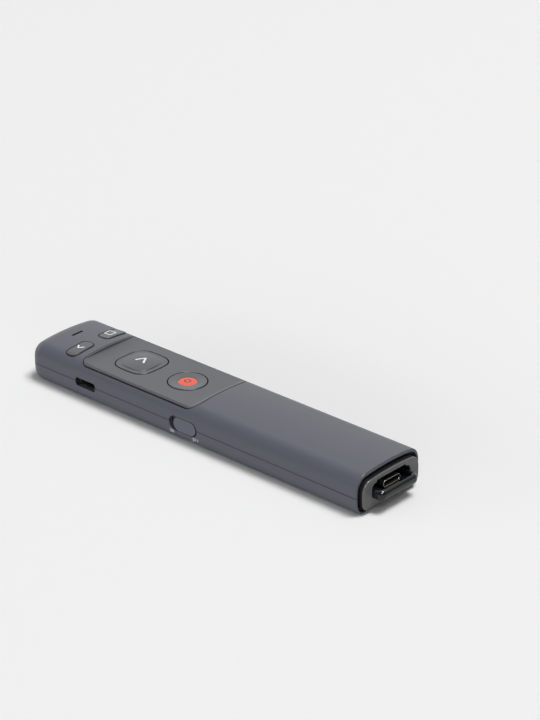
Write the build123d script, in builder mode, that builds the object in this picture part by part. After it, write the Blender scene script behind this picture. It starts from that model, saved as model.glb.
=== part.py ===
from build123d import *
from math import cos, pi, sin
import os

# Wireless presentation clicker with a stored receiver.
# Millimetres. The origin is the middle of the flat underside, the nose points along +Y,
# the tail with the receiver along -Y, and the side with the port and the slide switch is -X.

# Casing
body_width = 30.0
body_length = 145.8
body_height = 14.2
widest_height = 6.4  # level of the widest place of the side
foot_draw = 0.63  # how far the side draws in at the underside, before its corner is rounded
shoulder_draw = 0.68  # how far it draws in at the top, before its corner is rounded
shoulder_drop = 1.16  # how far the crowned top falls from its middle to its corners
top_corner_radius = 4.8
bottom_corner_radius = 3.3
nose_radius = 6.0
nose_steps = 6
parting_drop = 0.05  # how far the parting line lies below the middle of the port
casing_wall = 1.4
rim_wall = 0.6  # the wall thins to this around the groove at the tail
rim_roof = 0.95  # and to this over the groove
rim_round = 0.3
seam_height = 0.1  # the groove that the parting line leaves around the outside
seam_depth = 0.25
groove_depth = 1.9

# Control panel, a flat plate let into the crowned top
panel_from_nose = 24.1
panel_length = 52.0
panel_margin = 1.55  # on either side
panel_front_corner = 3.2
panel_rear_corner = 3.5
panel_drop = 1.4  # how far the panel lies below the middle of the crowned top
panel_thickness = 1.3
panel_gap = 0.3
riser_thickness = 0.45
sweep_length = 5.0  # the panel sweeps up to the foot of its riser over this length
sweep_rise = 0.55
ramp_length = 3.2
ramp_radius = 4.35
ramp_turn = 60.0
ledge_width = 2.3
ledge_thickness = 1.2

# Buttons
next_from_panel_front = 15.65
next_half_width = 7.7
next_half_length = 7.5
next_side_bulge = 0.7
next_corner = 4.5
next_rim = 1.65  # around the pillow on its face
pillow_step = 0.2  # from the rim up to the pillow's edge
pillow_crown = 0.4  # from the pillow's edge up to its middle
laser_from_panel_rear = 15.35
laser_radius = 6.45
laser_dish = 5.9
dish_depth = 0.3
dot_radius = 3.2
dot_crown = 0.4  # from its edge, at the dish's floor, up to its middle
dot_thickness = 0.35  # at its edge
dot_fit = 0.05
button_gap = 0.35
button_rise = 0.1
button_round = 0.3
hole_round = 0.15
button_travel = 0.35
button_float = 0.05
flange_width = 0.8
flange_thickness = 0.74
front_button_inner = 2.7
front_button_margin = 1.05  # from the line of the panel's side
front_button_from_panel = 3.3
front_button_length = 5.1
front_button_corner = 1.8
front_button_gap = 0.3
front_button_round = 0.35
front_button_slope = 0.07  # the caps rise towards the tail by this much for each millimetre

# Circuit board and what it carries
board_from_nose = 6.9
board_length = 72.2
board_side_gap = 1.6
board_thickness = 1.0
board_corner = 1.5
switch_side = 4.6
switch_height = 1.4
switch_floor = 0.15
plunger_radius = 0.9
plunger_fit = 0.08
plunger_depth = 0.8
chip_height = 0.9
radio_chip_side = 5.0
charge_chip_side = 3.0
charge_chip_from_panel_front = 4.2
memory_chip_side = 4.0
memory_chip_from_panel_rear = 2.2

# Status light
slit_from_nose = 9.7
slit_aside = 0.5  # it lies this far from the middle, on the port's side
slit_width = 5.0
slit_length = 1.1
slit_fit = 0.06
light_recess = 0.3
light_flange = 0.5
light_flange_gap = 0.1
led_length = 1.6
led_width = 0.9
led_height = 0.6
led_gap = 0.2

# Slide switch
slide_from_panel_rear = 3.4
slide_drop = 1.0  # how far its middle lies below half the casing's height
slide_slot_length = 12.3
slide_slot_margin = 9.1  # what the slot leaves of the casing's height, above and below it together
slide_fit = 0.15
slide_rest = 0.6  # behind the cap when it is off
slide_travel = 1.8
plate_over = 0.5
plate_thickness = 0.6
plate_gap = 0.6  # between the wall's inner face and the plate
bump_radius = 0.6
bump_rise = 0.15
bump_from_slot = 1.6
switch_body_length = 6.6
switch_body_width = 3.8
switch_body_height = 3.2
switch_body_gap = 1.2
lever_width = 1.4
lever_height = 1.6
lever_reach = 1.6
fork_prong = 0.8
fork_reach = 1.0

# Charging port
port_from_nose = 27.9
port_slot_length = 9.2
port_slot_height = 3.0
port_slot_corner = 1.0
socket_length = 8.94
socket_height = 3.2
socket_depth = 7.3
socket_wall = 0.32
socket_gap = 0.25
socket_tongue_length = 6.7
socket_tongue_thickness = 0.7
socket_tongue_depth = 5.6

# Battery
battery_length = 30.0
battery_width = 14.5
battery_height = 6.0
battery_round = 1.2
battery_gap = 0.5
tape_thickness = 0.3
tape_margin = 2.0
rib_thickness = 1.0
rib_height = 3.0

# Laser pointer in the nose
barrel_radius = 2.1
barrel_drop = 0.1  # from the underside of the board
barrel_length = 11.0
barrel_wall = 0.5
barrel_gap = 1.2  # from the inside of the nose
lens_thickness = 1.2
diode_length = 2.5
window_radius = 1.75
window_thickness = 0.7
window_recess = 0.25
window_fit = 0.05
beam_radius = 1.2
cradle_half_width = 3.4
cradle_thickness = 1.2
cradle_fit = 0.05

# Screws that hold the board to the upper shell
screw_side_margin = 2.4
screw_front_margin = 4.4
screw_from_switch = 0.25  # the rear screws stand this far behind the slide switch's housing
screw_radius = 0.8
screw_head_radius = 1.25
screw_head_height = 0.9
screw_length = 3.6
screw_fit = 0.15
thread_fit = 0.05
boss_radius = 1.9
post_side_margin = 1.8
post_from_slide = 12.3
post_from_nose = 16.4
post_radius = 1.5

# Tail: end cap, dock and receiver
cap_inset = 1.6
cap_roof = 2.1  # its top lies lower within the casing
cap_flange = 0.1  # the gap around the flange that closes the groove behind the cap's face
cap_rise = 1.45
cap_depth = 5.2
cap_round = 0.4
mouth_half_width = 9.3
mouth_half_height = 2.7
mouth_corner = 1.9
mouth_drop = 0.2  # how far its middle lies below half the casing's height
throat_half_width = 7.15
throat_half_height = 3.6
throat_corner = 0.8
throat_drop = 0.3
dock_wall = 1.1
dock_corner = 2.5
dock_roof_gap = 1.05
dock_back = 0.8
receiver_fit = 0.2
receiver_setback = 4.7
receiver_length = 16.2
receiver_wall = 1.2
receiver_room = 0.3
scoop_rise = 5.4  # beyond the casing's tail
scoop_side_gap = 0.25
scoop_height = 3.5
scoop_corner = 2.0
scoop_side_round = 1.5
scoop_foot_round = 1.4
pocket_half_width = 7.2
pocket_corner = 1.5
pocket_wall = 1.0
pocket_slope_length = 2.6
pocket_slope_rise = 1.4
usb_c_lift = 0.55  # above the middle of the opening
usb_c_width = 8.26
usb_c_thickness = 2.4
usb_c_wall = 0.25
usb_c_reach = 6.35
usb_c_root = 2.8
usb_c_slot_width = 6.7
usb_c_slot_thickness = 1.3
usb_c_slot_depth = 5.0
usb_a_width = 12.0
usb_a_thickness = 4.5
usb_a_wall = 0.3
usb_a_reach = 12.0
usb_a_root = 2.5
usb_a_tongue_thickness = 1.9
usb_a_fit = 0.25
contact_width = 1.0
contact_length = 8.0
contact_thickness = 0.1
contact_setback = 1.0
contact_pitch = 2.5
contact_count = 4
receiver_board_half_width = 5.6
receiver_board_thickness = 0.8
receiver_chip_side = 4.0
receiver_chip_height = 0.9

# Places that follow from the sizes above
tail = -body_length / 2
nose = body_length / 2
nose_start = nose - nose_radius
reach_over = body_height  # how far a cut is carried past the surfaces that it goes through
panel_front = nose - panel_from_nose
panel_rear = panel_front - panel_length
panel_half_width = body_width / 2 - panel_margin
riser_foot = panel_front - riser_thickness
panel_level = body_height - panel_drop
panel_bottom = panel_level - panel_thickness
button_top = panel_level + button_rise
flange_top = panel_bottom - button_float
plunger_top = flange_top - flange_thickness
next_y = panel_front - next_from_panel_front
laser_y = panel_rear + laser_from_panel_rear
front_button_outer = panel_half_width - front_button_margin
front_button_width = front_button_outer - front_button_inner
front_button_x = (front_button_inner + front_button_outer) / 2
front_button_y = panel_front + front_button_from_panel + front_button_length / 2
front_button_front = front_button_y + front_button_length / 2
board_top = plunger_top - button_travel - 2 * plunger_fit - switch_height
board_bottom = board_top - board_thickness
board_front = nose - board_from_nose
board_rear = board_front - board_length
board_middle = (board_front + board_rear) / 2
board_half_width = body_width / 2 - casing_wall - board_side_gap
slit_x = -slit_aside
slit_y = nose - slit_from_nose
slide_y = panel_rear + slide_from_panel_rear
bump_y = slide_y + bump_from_slot
port_y = nose - port_from_nose
port_height = board_bottom - socket_height / 2
parting_height = port_height - parting_drop
slide_height = body_height / 2 - slide_drop
slide_slot_height = body_height - slide_slot_margin
front_button_places = [(side * front_button_x, front_button_y) for side in (-1, 1)]
switch_places = [(0, next_y), (0, laser_y), *front_button_places]
screw_x = board_half_width - screw_side_margin
screw_rear_y = slide_y - switch_body_length / 2 - screw_from_switch - screw_head_radius
screw_places = [(side * screw_x, y) for side in (-1, 1) for y in (screw_rear_y, board_front - screw_front_margin)]
post_x = board_half_width - post_side_margin
post_rows = (slide_y + post_from_slide, nose - post_from_nose)
post_places = [(side * post_x, y) for side in (-1, 1) for y in post_rows]
chips = [
    (radio_chip_side, (next_y + laser_y) / 2),
    (charge_chip_side, panel_front - charge_chip_from_panel_front),
    (memory_chip_side, panel_rear + memory_chip_from_panel_rear),
]
wall_x = -body_width / 2 + casing_wall
plate_front = wall_x + plate_gap
plate_back = plate_front + plate_thickness
slider_rear = slide_y - slide_slot_length / 2 + slide_rest
slider_front = slide_y + slide_slot_length / 2 - slide_travel - slide_fit
lever_y = slide_y - slide_travel / 2
socket_mouth = wall_x + socket_gap
laser_axis_height = board_bottom - barrel_drop - barrel_radius
laser_front = nose - casing_wall - barrel_gap
laser_rear = laser_front - barrel_length
cradle_places = [laser_rear + barrel_length / 4, laser_front - barrel_length / 4]
cap_face = tail - cap_rise
cap_back = cap_face + cap_depth
groove_bottom = tail + groove_depth
mouth_height = body_height / 2 - mouth_drop
throat_height = body_height / 2 - throat_drop
receiver_front = tail + receiver_setback
receiver_back = receiver_front + receiver_length
usb_c_mouth = receiver_front - usb_c_reach
usb_c_height = mouth_height + usb_c_lift
usb_a_tip = receiver_back + usb_a_reach
tongue_top = mouth_height - usb_a_thickness / 2 + usb_a_wall + usb_a_tongue_thickness
contact_places = [contact_pitch * (place - (contact_count - 1) / 2) for place in range(contact_count)]
receiver_board_length = receiver_length - usb_c_root - usb_a_root
receiver_board_middle = receiver_front + usb_c_root + receiver_board_length / 2
scoop_front = tail - scoop_rise
scoop_half_width = mouth_half_width - scoop_side_gap
scoop_bottom = mouth_height - mouth_half_height + receiver_fit
scoop_rim = scoop_bottom + scoop_height
scoop_root = receiver_front + 2 * receiver_wall
pocket_front = scoop_front + pocket_wall
pocket_floor = usb_c_height - usb_c_thickness / 2 - receiver_fit / 2
dock_half_width = mouth_half_width + dock_wall
dock_front = usb_a_tip + usb_a_fit + dock_back
battery_rear = dock_front + rib_thickness + 2 * battery_gap
battery_middle = battery_rear + battery_length / 2
rib_places = [battery_middle + end * (battery_length / 2 + battery_gap + rib_thickness / 2) for end in (-1, 1)]


def level_inside(height, inset):
    """A level of the outer casing section, moved to where it lies in the section drawn in by inset."""
    return widest_height + (height - widest_height) * (1 - inset / (body_height / 2))


def cap_ball_radius(radius, height):
    """The radius of the ball whose cap has this radius and height."""
    return (radius**2 + height**2) / (2 * height)


bump_ball_radius = cap_ball_radius(bump_radius, bump_rise)
pillow_radius = cap_ball_radius(next_half_width - next_rim, pillow_crown)
pillow_top = button_top + pillow_step + pillow_crown
dish_radius = cap_ball_radius(laser_dish, dish_depth)
dish_floor = button_top - dish_depth
dot_ball_radius = cap_ball_radius(dot_radius, dot_crown)
dot_top = dish_floor + dot_crown
dot_bottom = dish_floor - dot_thickness
plate_reach = (slide_slot_length + slide_travel) / 2 + plate_over
floor_level = level_inside(0, casing_wall)
roof_level = level_inside(body_height, casing_wall)
dock_top = roof_level - dock_roof_gap


def section_plane(y):
    """The upright plane across the casing at y, seen from the tail, with its normal towards the tail."""
    return Plane.XZ.offset(-y)


def casing_section(inset=0.0, roof_inset=None):
    """Draw the casing's cross-section, smaller by inset on every side, or by roof_inset at its top."""
    if roof_inset is None:
        roof_inset = inset
    reach = body_width / 2 - inset
    slim = 1 - inset / (body_height / 2)
    foot_x = reach - foot_draw * slim
    foot_z = level_inside(0, inset)
    shoulder_x = reach - shoulder_draw * slim
    shoulder_z = level_inside(body_height - shoulder_drop, roof_inset)
    crown_z = level_inside(body_height, roof_inset)
    with BuildSketch() as section:
        with BuildLine():
            Line((-foot_x, foot_z), (foot_x, foot_z))
            ThreePointArc((foot_x, foot_z), (reach, widest_height), (shoulder_x, shoulder_z))
            ThreePointArc((shoulder_x, shoulder_z), (0, crown_z), (-shoulder_x, shoulder_z))
            ThreePointArc((-shoulder_x, shoulder_z), (-reach, widest_height), (-foot_x, foot_z))
        make_face()
        fillet(section.vertices().group_by(Axis.Y)[0], bottom_corner_radius * slim)
        fillet(section.vertices().group_by(Axis.Y)[-1], top_corner_radius * slim)
    add(section.sketch)


def casing_form(inset=0.0, mode=Mode.ADD):
    """Make the casing's form, smaller by inset: a prism from the tail, and the rounded nose."""
    casing_prism(nose_start, body_length - nose_radius, inset, mode=mode)
    depth = nose_radius - inset
    sections = []
    for step in range(nose_steps + 1):
        turn = pi / 2 * step / nose_steps
        with BuildSketch(section_plane(nose_start + depth * sin(turn))) as section:
            casing_section(inset + depth * (1 - cos(turn)))
        sections.append(section.sketch)
    loft(sections, mode=mode)


def casing_prism(start, length, inset=0.0, roof_inset=None, mode=Mode.ADD):
    """Make a prism of the casing's section, smaller by inset, that runs from start towards the tail."""
    with BuildSketch(section_plane(start)) as section:
        casing_section(inset, roof_inset)
    extrude(section.sketch, amount=length, mode=mode)


def panel_outline(grow=0.0):
    """Draw the panel's outline, larger by grow all round, in the current sketch."""
    half_width = panel_half_width + grow
    with BuildSketch() as outline:
        with Locations((0, (panel_rear + panel_front) / 2)):
            Rectangle(2 * half_width, panel_front - panel_rear + 2 * grow)
        fillet(outline.vertices().group_by(Axis.Y)[0], panel_rear_corner + grow)
        fillet(outline.vertices().group_by(Axis.Y)[-1], panel_front_corner + grow)
    add(outline.sketch)


def next_outline(grow=0.0):
    """Draw the next button's outline, a square with swollen sides, larger by grow all round."""
    half_width = next_half_width + grow
    half_length = next_half_length + grow
    side = half_width - next_side_bulge
    end = half_length - next_side_bulge
    with BuildSketch() as outline:
        with BuildLine():
            ThreePointArc((-side, next_y - end), (0, next_y - half_length), (side, next_y - end))
            ThreePointArc((side, next_y - end), (half_width, next_y), (side, next_y + end))
            ThreePointArc((side, next_y + end), (0, next_y + half_length), (-side, next_y + end))
            ThreePointArc((-side, next_y + end), (-half_width, next_y), (-side, next_y - end))
        make_face()
        fillet(outline.vertices(), next_corner + grow)
    add(outline.sketch)


def laser_outline(grow=0.0):
    """Draw the round laser button's outline, larger by grow."""
    with Locations((0, laser_y)):
        Circle(laser_radius + grow)


def front_button_outline(side, grow=0.0):
    """Draw one front button's outline on its side of the middle, larger by grow all round."""
    with Locations((side * front_button_x, front_button_y)):
        RectangleRounded(
            front_button_width + 2 * grow, front_button_length + 2 * grow, front_button_corner + grow
        )


def slit_outline(grow=0.0):
    """Draw the status light's slit, larger by grow all round."""
    with Locations((slit_x, slit_y)):
        SlotOverall(slit_width + 2 * grow, slit_length + 2 * grow)


def slide_outline(rear, front, height):
    """Draw a lying slot of the slide switch, from rear to front, on an upright plane along the casing."""
    with Locations(((rear + front) / 2, slide_height)):
        SlotOverall(front - rear, height)


def mouth_outline(grow=0.0):
    """Draw the stepped opening of the tail, larger by grow all round."""
    with Locations((0, mouth_height)):
        RectangleRounded(
            2 * (mouth_half_width + grow), 2 * (mouth_half_height + grow), mouth_corner + grow
        )
    with Locations((0, throat_height)):
        RectangleRounded(
            2 * (throat_half_width + grow), 2 * (throat_half_height + grow), throat_corner + grow
        )


def side_plane(x):
    """An upright plane along the casing at x, with its own x along +Y and its normal towards +X."""
    return Plane.YZ.offset(x)


def finish(builder, name):
    """Label a finished piece and write it."""
    builder.part.label = name
    export_step(builder.part, f"parts/{name}.step")


os.makedirs("parts", exist_ok=True)

# The hollow of the casing: its inner form, less the frame around the panel, the bosses, the
# ribs and the cradles, which stay standing in it.
with BuildPart() as hollow:
    casing_form(casing_wall)
    with BuildSketch(Plane.XY.offset(panel_bottom - ledge_thickness)):
        panel_outline(panel_gap + casing_wall)
    extrude(amount=reach_over, mode=Mode.SUBTRACT)
    with BuildSketch(Plane.XY.offset(board_top)):
        with Locations(*screw_places):
            Circle(boss_radius)
    extrude(amount=reach_over, mode=Mode.SUBTRACT)
    with BuildSketch(Plane.XY.offset(floor_level + rib_height)):
        with Locations(*[(0, y) for y in rib_places]):
            Rectangle(battery_width, rib_thickness)
    extrude(amount=-reach_over, mode=Mode.SUBTRACT)
    with BuildSketch(Plane.XY.offset(laser_axis_height)):
        with Locations(*[(0, y) for y in cradle_places]):
            Rectangle(2 * cradle_half_width, cradle_thickness)
    extrude(amount=-reach_over, mode=Mode.SUBTRACT)

# The whole casing before it is parted into its two shells.
with BuildPart() as casing:
    casing_form()
    fillet(edges().group_by(Axis.Y)[0], rim_round)
    add(hollow.part, mode=Mode.SUBTRACT)
    casing_prism(groove_bottom, groove_depth + cap_rise, rim_wall, rim_roof, mode=Mode.SUBTRACT)
    with BuildSketch(section_plane(nose + casing_wall)):
        with Locations((0, laser_axis_height)):
            Circle(window_radius + window_fit)
    extrude(amount=casing_wall + window_recess + window_thickness, mode=Mode.SUBTRACT)
    with BuildSketch(section_plane(nose)):
        with Locations((0, laser_axis_height)):
            Circle(beam_radius)
    extrude(amount=2 * casing_wall, mode=Mode.SUBTRACT)
    with BuildSketch(section_plane(laser_front)):
        with Locations((0, laser_axis_height)):
            Circle(barrel_radius + cradle_fit)
    extrude(amount=barrel_length, mode=Mode.SUBTRACT)
    with BuildSketch(side_plane(-body_width)):
        slide_outline(slide_y - slide_slot_length / 2, slide_y + slide_slot_length / 2, slide_slot_height)
        with Locations((port_y, port_height)):
            RectangleRounded(port_slot_length, port_slot_height, port_slot_corner)
    extrude(amount=plate_front + body_width, mode=Mode.SUBTRACT)

# The narrow groove that runs around the casing just above its parting line.
with BuildPart() as seam:
    with BuildSketch(Plane.XY.offset(parting_height)):
        Rectangle(2 * body_width, 2 * body_length)
    extrude(amount=seam_height)
    casing_form(seam_depth, mode=Mode.SUBTRACT)

with BuildPart() as upper_shell:
    add(casing.part)
    split(bisect_by=Plane.XY.offset(parting_height), keep=Keep.TOP)
    add(seam.part, mode=Mode.SUBTRACT)
    with BuildSketch(Plane.XY.offset(panel_bottom)):
        panel_outline(panel_gap)
    extrude(amount=reach_over, mode=Mode.SUBTRACT)
    with BuildSketch(Plane.XY.offset(plunger_top)):
        for side in (-1, 1):
            front_button_outline(side, front_button_gap)
        slit_outline()
    extrude(amount=reach_over, mode=Mode.SUBTRACT)
    with BuildSketch(Plane.XY.offset(board_top)):
        with Locations(*screw_places):
            Circle(screw_radius + thread_fit)
    extrude(amount=screw_length - board_thickness + screw_fit, mode=Mode.SUBTRACT)
    with BuildSketch(Plane.XY.offset(panel_bottom - ledge_thickness)):
        panel_outline(-ledge_width)
    extrude(amount=reach_over, mode=Mode.SUBTRACT)
finish(upper_shell, "upper_shell")

with BuildPart() as lower_shell:
    add(casing.part)
    split(bisect_by=Plane.XY.offset(parting_height), keep=Keep.BOTTOM)
    with BuildSketch(Plane.XY.offset(floor_level)):
        with Locations(*post_places):
            Circle(post_radius)
    extrude(amount=board_bottom - floor_level)
finish(lower_shell, "lower_shell")

# The panel: flat, with a hollow ramp up to the crowned top behind it, and in front a gentle sweep
# up to the foot of its riser.
with BuildPart() as top_panel:
    with BuildSketch(Plane.XY.offset(panel_bottom)):
        panel_outline()
    extrude(amount=reach_over)
    casing_prism(nose_start, body_length - nose_radius, mode=Mode.INTERSECT)
    with BuildSketch(side_plane(-body_width)):
        with BuildLine():
            ramp = CenterArc(
                (panel_rear + ramp_length, panel_level + ramp_radius), ramp_radius, -90 - ramp_turn, ramp_turn
            )
            flat = Line(ramp @ 1, (riser_foot - sweep_length, panel_level))
            sweep_up = TangentArc(flat @ 1, (riser_foot, panel_level + sweep_rise), tangent=flat % 1)
            Polyline(
                sweep_up @ 1,
                (riser_foot, body_height + ramp_radius),
                ((ramp @ 0).X, body_height + ramp_radius),
                ramp @ 0,
            )
        make_face()
    extrude(amount=2 * body_width, mode=Mode.SUBTRACT)
    with BuildSketch(Plane.XY.offset(panel_bottom)):
        next_outline(button_gap)
        laser_outline(button_gap)
    extrude(amount=panel_thickness, mode=Mode.SUBTRACT)
    holes = faces().filter_by(Plane.XY).sort_by(Axis.Z)[-1].inner_wires()
    fillet([edge for hole in holes for edge in hole.edges()], hole_round)
finish(top_panel, "top_panel")

# The two buttons in the panel: a flange that bears up against the panel, and the cap through it.
# A crowned pillow rises from the face of the next button.
with BuildPart() as pillow:
    with BuildSketch(Plane.XY.offset(flange_top)):
        next_outline(-next_rim)
    extrude(amount=reach_over)
    with Locations((0, next_y, pillow_top - pillow_radius)):
        Sphere(pillow_radius, mode=Mode.INTERSECT)
    fillet(faces().sort_by(Axis.Z)[-1].edges(), pillow_step)

with BuildPart() as next_button:
    with BuildSketch(Plane.XY.offset(plunger_top)):
        next_outline(flange_width)
    extrude(amount=flange_top - plunger_top)
    with BuildSketch(Plane.XY.offset(flange_top)):
        next_outline()
    extrude(amount=button_top - flange_top)
    fillet(faces().sort_by(Axis.Z)[-1].edges(), button_round)
    add(pillow.part)
finish(next_button, "next_button")

with BuildPart() as laser_button:
    with BuildSketch(Plane.XY.offset(plunger_top)):
        laser_outline(flange_width)
    extrude(amount=flange_top - plunger_top)
    with BuildSketch(Plane.XY.offset(flange_top)):
        laser_outline()
    extrude(amount=button_top - flange_top)
    fillet(faces().sort_by(Axis.Z)[-1].edges(), button_round)
    with Locations((0, laser_y, dish_floor + dish_radius)):
        Sphere(dish_radius, mode=Mode.SUBTRACT)
    with BuildSketch(Plane.XY.offset(dot_bottom)):
        with Locations((0, laser_y)):
            Circle(dot_radius + dot_fit)
    extrude(amount=reach_over, mode=Mode.SUBTRACT)
finish(laser_button, "laser_button")

with BuildPart() as laser_button_dot:
    with BuildSketch(Plane.XY.offset(dot_bottom)):
        with Locations((0, laser_y)):
            Circle(dot_radius)
    extrude(amount=dot_top - dot_bottom)
    with Locations((0, laser_y, dot_top - dot_ball_radius)):
        Sphere(dot_ball_radius, mode=Mode.INTERSECT)
finish(laser_button_dot, "laser_button_dot")

# The two front buttons: their flanges follow the inside of the roof, their caps the crowned top
# and a slope that lifts them towards the tail.
cap_slope = Plane(origin=(0, front_button_front, 0), x_dir=(1, 0, 0), z_dir=(0, -1, front_button_slope))
for name, side in (("previous_button", -1), ("screen_button", 1)):
    with BuildPart() as front_button:
        with BuildSketch(Plane.XY.offset(plunger_top)):
            front_button_outline(side, flange_width)
        extrude(amount=reach_over)
        casing_prism(nose_start, body_length, casing_wall + button_float, mode=Mode.INTERSECT)
        with BuildSketch(Plane.XY.offset(plunger_top)):
            front_button_outline(side)
        extrude(amount=reach_over)
        with BuildSketch(cap_slope):
            casing_section()
        extrude(amount=2 * front_button_length, mode=Mode.INTERSECT)
        upright = faces().filter_by(lambda face: abs(face.normal_at().Z) < 0.01)
        cap_walls = upright.filter_by(lambda wall: wall.center().Z > roof_level)
        fillet([wall.edges().sort_by(Axis.Z)[-1] for wall in cap_walls], front_button_round)
    finish(front_button, name)

# The switches' plungers, which move with the buttons, and their housings on the board.
plunger_names = ["next_plunger", "laser_plunger", "previous_plunger", "screen_plunger"]
for name, place in zip(plunger_names, switch_places):
    with BuildPart() as plunger:
        with BuildSketch(Plane.XY.offset(board_top + switch_height - plunger_depth)):
            with Locations(place):
                Circle(plunger_radius)
        extrude(amount=plunger_top - board_top - switch_height + plunger_depth)
    finish(plunger, name)

with BuildPart() as tact_switches:
    with BuildSketch(Plane.XY.offset(board_top)):
        with Locations(*switch_places):
            Rectangle(switch_side, switch_side)
    extrude(amount=switch_height)
    with BuildSketch(Plane.XY.offset(board_top + switch_floor)):
        with Locations(*switch_places):
            Circle(plunger_radius + plunger_fit)
    extrude(amount=switch_height, mode=Mode.SUBTRACT)
finish(tact_switches, "tact_switches")

with BuildPart() as circuit_board:
    with BuildSketch(Plane.XY.offset(board_bottom)):
        with Locations((0, board_middle)):
            RectangleRounded(2 * board_half_width, board_length, board_corner)
        with Locations(*screw_places):
            Circle(screw_radius + screw_fit, mode=Mode.SUBTRACT)
    extrude(amount=board_thickness)
finish(circuit_board, "circuit_board")

with BuildPart() as control_chips:
    with BuildSketch(Plane.XY.offset(board_top)):
        for side, y in chips:
            with Locations((0, y)):
                Rectangle(side, side)
    extrude(amount=chip_height)
finish(control_chips, "control_chips")

with BuildPart() as board_screws:
    with BuildSketch(Plane.XY.offset(board_bottom - screw_head_height)):
        with Locations(*screw_places):
            Circle(screw_head_radius)
    extrude(amount=screw_head_height)
    with BuildSketch(Plane.XY.offset(board_bottom)):
        with Locations(*screw_places):
            Circle(screw_radius)
    extrude(amount=screw_length)
finish(board_screws, "board_screws")

# Status light
with BuildPart() as status_led:
    with BuildSketch(Plane.XY.offset(board_top)):
        with Locations((slit_x, slit_y)):
            Rectangle(led_length, led_width)
    extrude(amount=led_height)
finish(status_led, "status_led")

with BuildPart() as light_pipe:
    with BuildSketch(Plane.XY.offset(board_top + led_height + led_gap)):
        slit_outline(-slit_fit)
    extrude(amount=body_height - light_recess - board_top - led_height - led_gap)
    with BuildSketch(Plane.XY.offset(roof_level - light_flange - light_flange_gap)):
        slit_outline(light_flange)
    extrude(amount=light_flange)
finish(light_pipe, "light_pipe")

# Slide switch: the cap fills its slot but for the travel, and a plate behind the wall keeps it in.
with BuildPart() as power_slider:
    with BuildSketch(side_plane(-body_width)):
        slide_outline(slider_rear, slider_front, slide_slot_height - 2 * slide_fit)
    extrude(amount=plate_front + body_width)
    casing_prism(nose_start, body_length, mode=Mode.INTERSECT)
    with BuildSketch(side_plane(plate_front)):
        slide_outline(lever_y - plate_reach, lever_y + plate_reach, slide_slot_height + 2 * plate_over)
    extrude(amount=plate_thickness)
    with BuildSketch(side_plane(plate_back)):
        with Locations(*[(lever_y + end * (lever_width + fork_prong) / 2, slide_height) for end in (-1, 1)]):
            Rectangle(fork_prong, lever_height)
    extrude(amount=fork_reach)
    with Locations((bump_ball_radius - bump_rise - body_width / 2, bump_y, slide_height)):
        Sphere(bump_ball_radius)
finish(power_slider, "power_slider")

with BuildPart() as slide_switch_lever:
    with BuildSketch(side_plane(plate_back + slide_fit)):
        with Locations((lever_y, slide_height)):
            Rectangle(lever_width, lever_height)
    extrude(amount=switch_body_gap - slide_fit + lever_reach)
finish(slide_switch_lever, "slide_switch_lever")

with BuildPart() as slide_switch_housing:
    with BuildSketch(side_plane(plate_back + switch_body_gap)):
        with Locations((slide_y, board_bottom - switch_body_height / 2)):
            Rectangle(switch_body_length, switch_body_height)
    extrude(amount=switch_body_width)
    with BuildSketch(side_plane(plate_back + switch_body_gap)):
        with Locations((slide_y, slide_height)):
            Rectangle(lever_width + slide_travel + 2 * slide_fit, lever_height + 2 * slide_fit)
    extrude(amount=lever_reach + slide_fit, mode=Mode.SUBTRACT)
finish(slide_switch_housing, "slide_switch_housing")

# Charging socket
with BuildPart() as usb_c_socket:
    with BuildSketch(side_plane(socket_mouth)):
        with Locations((port_y, port_height)):
            SlotOverall(socket_length, socket_height)
    extrude(amount=socket_depth)
    with BuildSketch(side_plane(socket_mouth)):
        with Locations((port_y, port_height)):
            SlotOverall(socket_length - 2 * socket_wall, socket_height - 2 * socket_wall)
    extrude(amount=socket_depth - socket_wall, mode=Mode.SUBTRACT)
finish(usb_c_socket, "usb_c_socket")

with BuildPart() as usb_c_socket_tongue:
    with BuildSketch(side_plane(socket_mouth + socket_depth - socket_wall)):
        with Locations((port_y, port_height)):
            Rectangle(socket_tongue_length, socket_tongue_thickness)
    extrude(amount=-socket_tongue_depth)
finish(usb_c_socket_tongue, "usb_c_socket_tongue")

# Battery
with BuildPart() as battery_tape:
    with BuildSketch(Plane.XY.offset(floor_level)):
        with Locations((0, battery_middle)):
            Rectangle(battery_width - 2 * tape_margin, battery_length - 2 * tape_margin)
    extrude(amount=tape_thickness)
finish(battery_tape, "battery_tape")

with BuildPart() as battery_cell:
    with BuildSketch(section_plane(battery_rear + battery_length)):
        with Locations((0, floor_level + tape_thickness + battery_height / 2)):
            RectangleRounded(battery_width, battery_height, battery_round)
    extrude(amount=battery_length)
finish(battery_cell, "battery_cell")

# Laser pointer
with BuildPart() as laser_module:
    with BuildSketch(section_plane(laser_front)):
        with Locations((0, laser_axis_height)):
            Circle(barrel_radius)
            Circle(barrel_radius - barrel_wall, mode=Mode.SUBTRACT)
    extrude(amount=barrel_length)
finish(laser_module, "laser_module")

with BuildPart() as laser_lens:
    with BuildSketch(section_plane(laser_front - barrel_wall)):
        with Locations((0, laser_axis_height)):
            Circle(barrel_radius - barrel_wall)
    extrude(amount=lens_thickness)
finish(laser_lens, "laser_lens")

with BuildPart() as laser_diode:
    with BuildSketch(section_plane(laser_rear + diode_length)):
        with Locations((0, laser_axis_height)):
            Circle(barrel_radius - barrel_wall)
    extrude(amount=diode_length)
finish(laser_diode, "laser_diode")

with BuildPart() as nose_window:
    with BuildSketch(section_plane(nose - window_recess)):
        with Locations((0, laser_axis_height)):
            Circle(window_radius)
    extrude(amount=window_thickness)
finish(nose_window, "nose_window")

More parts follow.
